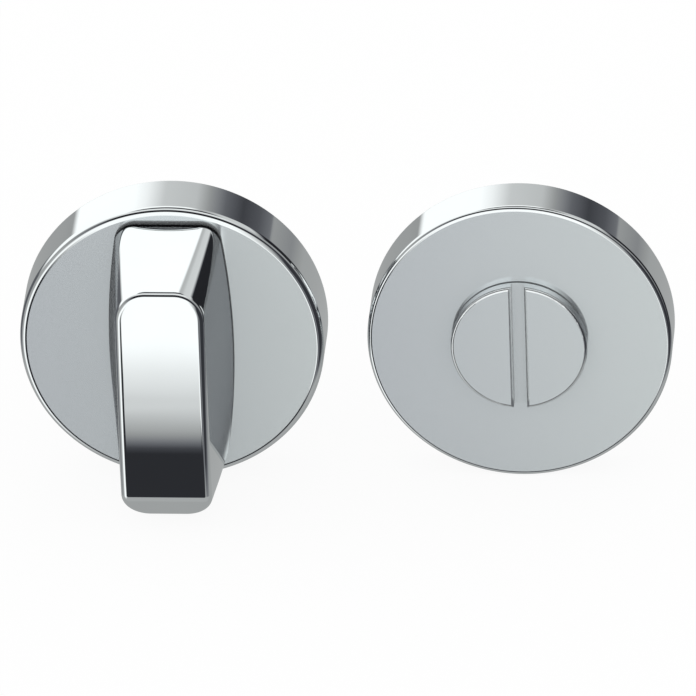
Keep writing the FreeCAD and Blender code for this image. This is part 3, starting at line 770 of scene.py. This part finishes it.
# %% Bolt threads
BOLTS_AT, SEAT, INTO_HEAD, BOLT_END = 17.5, 5.0, 0.2, -21.0
SHANK, CREST, ROOT, TIP = 1.75, 2.0, 1.62, 1.5
PITCH, THREAD_TOP, ROWS_PER_PITCH, ROUND = 0.7, -0.5, 10, 64
FLANK, ROOT_FLAT = 2.6, 0.15


def bolt_shank(centre_x, start):
    """Rows down a shank from inside the head to the tip, each a ring of ROUND points, and its faces.
    The first and last rows shrink to the axis."""
    rows = int((THREAD_TOP - BOLT_END) / PITCH * ROWS_PER_PITCH)
    thread = np.linspace(THREAD_TOP, BOLT_END, rows)
    height = np.concatenate([[SEAT + INTO_HEAD] * 2, thread, [BOLT_END]])
    angle = np.linspace(0, 2 * math.pi, ROUND, endpoint=False)
    height, angle = np.meshgrid(height, angle, indexing="ij")
    wave = (height / PITCH + angle / (2 * math.pi)) % 1.0
    ridge = np.clip(FLANK * np.abs(wave - 0.5) - ROOT_FLAT, 0, 1)
    fade = np.clip((THREAD_TOP - height) / PITCH, 0, 1)
    radius = SHANK + fade * (ROOT + (CREST - ROOT) * ridge - SHANK)
    radius = np.minimum(radius, TIP + (height - BOLT_END))
    radius[0], radius[-1] = 0, 0
    points = np.stack([centre_x + radius * np.sin(angle), radius * np.cos(angle), height], axis=-1)
    return points.reshape(-1, 3), grid_faces(len(height), ROUND, start, wrap_columns=True)


def fixing_bolts():
    """Both threaded shanks with the heads taken over from the solids."""
    heads, triangles = cad_part("turn_fixing_bolts", lambda c: c[:, :, 2].min(axis=1) > SEAT - 0.01)
    left, left_faces = bolt_shank(-BOLTS_AT, len(heads))
    right, right_faces = bolt_shank(BOLTS_AT, len(heads) + len(left))
    faces = triangles.tolist() + left_faces + right_faces
    add_piece("threaded_bolts", np.concatenate([heads, left, right]), faces, plated_steel, "root",
              "turn_fixing_bolts")


fixing_bolts()

# %% [markdown]
# ## The floor
#
# The pair stands on a white floor that runs on into the backdrop. The lock's soft shadow has to stay
# on it, and the rest has to look as white as paper, so for the camera most of it glows. It is left
# out of reflections, which the cards of the next steps fill.

# %% Floor
FLOOR_TOP, FLOOR_HALF = CAD_LOW.z, 6.0
FLOOR_GLOW = 0.92


def floor():
    """A white plane under the pair. For camera rays part of it glows white, which thins the shadow."""
    h, z = FLOOR_HALF, FLOOR_TOP
    mesh = bpy.data.meshes.new("floor")
    mesh.from_pydata([(-h, -h, z), (h, -h, z), (h, h, z), (-h, h, z)], [], [(0, 1, 2, 3)])
    thing = bpy.data.objects.new("floor", mesh)
    bpy.context.scene.collection.objects.link(thing)
    material = bpy.data.materials.new("floor")
    material.use_nodes = True
    tree = material.node_tree
    shader = tree.nodes["Principled BSDF"]
    shader.inputs["Base Color"].default_value = (0.97, 0.97, 0.97, 1)
    shader.inputs["Roughness"].default_value = 1.0
    shader.inputs["Specular IOR Level"].default_value = 0.0
    path = node(tree, "ShaderNodeLightPath", (-400, 300))
    part = node(tree, "ShaderNodeMath", (-200, 300), {1: FLOOR_GLOW}, operation="MULTIPLY")
    glow = node(tree, "ShaderNodeEmission", (0, -300), {"Strength": 1.0})
    mixed = node(tree, "ShaderNodeMixShader", (400, 200))
    join(tree, (path.outputs["Is Camera Ray"], part.inputs[0]), (part.outputs[0], mixed.inputs[0]),
         (shader.outputs[0], mixed.inputs[1]), (glow.outputs[0], mixed.inputs[2]),
         (mixed.outputs[0], tree.nodes["Material Output"].inputs["Surface"]))
    mesh.materials.append(material)
    thing.visible_glossy = False
    print("floor at", round(FLOOR_TOP / MM, 1), "mm")


floor()

# %% [markdown]
# ## A studio as a map
#
# Chrome has almost no colour of its own: it shows the room. Catalogue photographers therefore build
# the room round it: a large white card in front, black flags beside it that draw a dark line into
# every rounded edge, more white behind, and a dark ceiling. The world background can hold such cards
# as a map over directions. Brightness along an angle is a row of stops, and rows are blended.

# %% Helpers for the map
WHITE, FLOOR_TONE, DARK = 1.14, 0.38, 0.02
DEGREES = 180 / math.pi


def math_node(tree, operation, a, b=None, clamp=False):
    """One Math node; each value is a number or an output socket."""
    made = node(tree, "ShaderNodeMath", (0, 0), operation=operation, use_clamp=clamp)
    for index, value in enumerate((a, b)):
        if isinstance(value, (int, float)):
            made.inputs[index].default_value = value
        elif value is not None:
            join(tree, (value, made.inputs[index]))
    return made.outputs[0]


def along(tree, direction, axis):
    """Share of a direction along an axis: their dot product."""
    made = node(tree, "ShaderNodeVectorMath", (-500, 0), {1: axis}, operation="DOT_PRODUCT")
    join(tree, (direction, made.inputs[0]))
    return made.outputs["Value"]


def grey_steps(tree, value, stops):
    """Brightness along a value: straight lines between (value, brightness) stops."""
    made = node(tree, "ShaderNodeFloatCurve", (0, 0))
    low, high = stops[0][0], stops[-1][0]
    share = math_node(tree, "DIVIDE", math_node(tree, "SUBTRACT", value, low), high - low, clamp=True)
    curve = made.mapping.curves[0]
    made.mapping.use_clip = False
    curve.points[0].location = (0.0, stops[0][1])
    curve.points[1].location = (1.0, stops[-1][1])
    for place, brightness in stops[1:-1]:
        curve.points.new((place - low) / (high - low), brightness)
    for point in curve.points:
        point.handle_type = "VECTOR"
    made.mapping.update()
    join(tree, (share, made.inputs["Value"]))
    return made.outputs[0]


def blend(tree, factor, first, second):
    """One float Mix node between two brightnesses."""
    made = node(tree, "ShaderNodeMix", (200, 0), data_type="FLOAT")
    join(tree, (factor, made.inputs[0]), (first, made.inputs[2]), (second, made.inputs[3]))
    return made.outputs[0]


# %% [markdown]
# ## Cards in front
#
# A rose's face mirrors one direction, in front of the lock and as far below level as the camera is
# above it. The cards there are rings round that direction: the crowned grip sweeps slowly through the
# innermost degrees, which gives its long fade from white to black, and every rounded edge runs
# quickly through all of them.

# %% Cards in front
FRONT = (-0.0733, -0.8754, -0.4778)
FRONT_RIGHT = (0.9965, -0.0835, 0.0)
FRONT_UP = (-0.0399, -0.4761, 0.8785)


def front_cards(tree, direction):
    """Cards in front, as rings round the direction that a rose's face mirrors. The distance from it
    is rho = arccos(d . FRONT), the clock angle round it psi. Four lines of stops over rho, up, down,
    left and right, are blended by stops over psi. The left card is dim for light that meets metal
    twice, which leaves the grip's left foot in its own shade."""
    ahead = along(tree, direction, FRONT)
    side, rise = along(tree, direction, FRONT_RIGHT), along(tree, direction, FRONT_UP)
    rho = math_node(tree, "MULTIPLY", math_node(tree, "ARCCOSINE", ahead), DEGREES)
    psi = math_node(tree, "MULTIPLY", math_node(tree, "ARCTAN2", side, rise), DEGREES)
    up = grey_steps(tree, rho, [
        (0, 0.70), (0.8, 0.727), (1.6, 0.785), (2.5, 0.845), (3.5, 0.90), (4.4, 0.965), (5.4, 1.04),
        (6.4, 1.10), (7.4, WHITE), (59, WHITE), (65, DARK), (90, DARK), (98, 0.9), (180, 0.9)])
    down = grey_steps(tree, rho, [
        (0, 0.70), (0.8, 0.67), (1.6, 0.608), (2.5, 0.508), (3.5, 0.41), (4.45, 0.273), (5.4, 0.09),
        (6.0, 0.03), (20, 0.03), (26, 0.42), (50, 0.42), (110, FLOOR_TONE), (180, FLOOR_TONE)])
    left = grey_steps(tree, rho, [(0, 0.70), (3, 0.70), (5, 0.03), (25, 0.03), (29, 0.9), (32, WHITE),
                                  (46, WHITE), (56, 0.42), (90, 0.36), (180, 0.36)])
    right = grey_steps(tree, rho, [(0, 0.70), (3, 0.85), (5, WHITE), (10, WHITE), (14, 0.04), (18, 0.14),
                                   (30, 0.22), (38, 0.04), (80, 0.04), (92, 0.36), (180, 0.36)])
    path = node(tree, "ShaderNodeLightPath", (-500, -300))
    again = grey_steps(tree, path.outputs["Glossy Depth"], [(1, 1), (2, 0.3)])
    left = math_node(tree, "MULTIPLY", left, again)
    is_up = grey_steps(tree, psi, [(-98, 0), (-88, 1), (88, 1), (98, 0)])
    is_right = grey_steps(tree, psi, [(28, 0), (58, 1), (112, 1), (124, 0)])
    is_left = grey_steps(tree, psi, [(-155, 0), (-130, 1), (-60, 1), (-28, 0)])
    return blend(tree, is_left, blend(tree, is_right, blend(tree, is_up, down, up), right), left)


# %% [markdown]
# ## Cards behind
#
# The wall of a rose and the upper end of the grip mirror what stands behind the lock. Walls send the
# eye nearly straight back and the grip's end sends it upward, so a near and a wide set of cards go
# round the clock, with a dark ceiling over the wide one.

# %% Cards behind
NEAR_FROM, NEAR_GAIN = 0.76, 12.0


def back_cards(tree, x, y, z):
    """Cards behind, by the clock angle arctan(x / z) about the door's normal. The near set takes over
    from the wide one where the direction's share along y passes NEAR_FROM."""
    clock = math_node(tree, "MULTIPLY", math_node(tree, "ARCTAN2", x, z), DEGREES)
    near = grey_steps(tree, clock, [
        (-180, 0.42), (-130, 0.37), (-100, 0.36), (-90, 0.34), (-85, WHITE), (-36, WHITE), (-27, 1.0),
        (-13, 0.63), (11, 0.56), (21, 0.33), (34, 0.14), (48, 0.06), (62, 0.10), (73, 0.18), (75, 0.34),
        (95, 0.27), (110, 0.38), (140, 0.40), (180, 0.42)])
    wide = grey_steps(tree, clock, [
        (-180, FLOOR_TONE), (-128, FLOOR_TONE), (-118, 0.12), (-88, 0.12), (-78, WHITE), (8, WHITE),
        (14, 0.5), (20, 0.52), (28, 0.66), (46, 0.7), (54, DARK), (112, DARK), (124, FLOOR_TONE),
        (180, FLOOR_TONE)])
    ceiling = grey_steps(tree, z, [(-1, 1), (0.88, 1), (0.93, 0.04), (1, 0.04)])
    inner = math_node(tree, "MULTIPLY", math_node(tree, "SUBTRACT", y, NEAR_FROM), NEAR_GAIN, clamp=True)
    return blend(tree, inner, math_node(tree, "MULTIPLY", wide, ceiling), near)


# %% [markdown]
# ## The studio
#
# Only reflections see the cards. The camera sees plain white, and matt surfaces are lit evenly from
# all sides, so the cards can be as dark as the chrome needs without dimming anything else. Dark
# stretches are a little bluer than bright ones, as in the photograph.

# %% The studio
BEHIND_SHIFT, BEHIND_GAIN, HUE_GAIN = 0.02, 20.0, 3.0
DARK_HUE, BRIGHT_HUE = (0.86, 0.90, 1.06, 1), (0.975, 1.0, 1.0, 1)


def studio():
    """World whose reflections read the cards in front and, where y is positive, those behind. The hue
    goes from DARK_HUE to BRIGHT_HUE as HUE_GAIN x brightness goes from 0 to 1."""
    world = bpy.data.worlds.new("studio")
    bpy.context.scene.world = world
    world.use_nodes = True
    tree = world.node_tree
    tree.nodes.clear()
    where = node(tree, "ShaderNodeTexCoord", (-900, 0))
    parts = node(tree, "ShaderNodeSeparateXYZ", (-700, 0))
    join(tree, (where.outputs["Generated"], parts.inputs[0]))
    x, y, z = parts.outputs
    behind = math_node(tree, "MULTIPLY", math_node(tree, "ADD", y, BEHIND_SHIFT), BEHIND_GAIN, clamp=True)
    tone = blend(tree, behind, front_cards(tree, where.outputs["Generated"]), back_cards(tree, x, y, z))
    hue = node(tree, "ShaderNodeMix", (300, -300), data_type="RGBA")
    hue.inputs[6].default_value = DARK_HUE
    hue.inputs[7].default_value = BRIGHT_HUE
    even = node(tree, "ShaderNodeBackground", (500, 200), {"Color": (1, 1, 1, 1), "Strength": 1.0})
    cards = node(tree, "ShaderNodeBackground", (500, -100))
    path = node(tree, "ShaderNodeLightPath", (200, 400))
    pick = node(tree, "ShaderNodeMixShader", (700, 0))
    out = node(tree, "ShaderNodeOutputWorld", (900, 0))
    brightness = math_node(tree, "MULTIPLY", tone, HUE_GAIN, clamp=True)
    join(tree, (brightness, hue.inputs[0]), (hue.outputs[2], cards.inputs["Color"]),
         (tone, cards.inputs["Strength"]), (path.outputs["Is Glossy Ray"], pick.inputs[0]),
         (even.outputs[0], pick.inputs[1]), (cards.outputs[0], pick.inputs[2]),
         (pick.outputs[0], out.inputs["Surface"]))


studio()
print("world", bpy.context.scene.world.name, "with", len(bpy.context.scene.world.node_tree.nodes), "nodes")
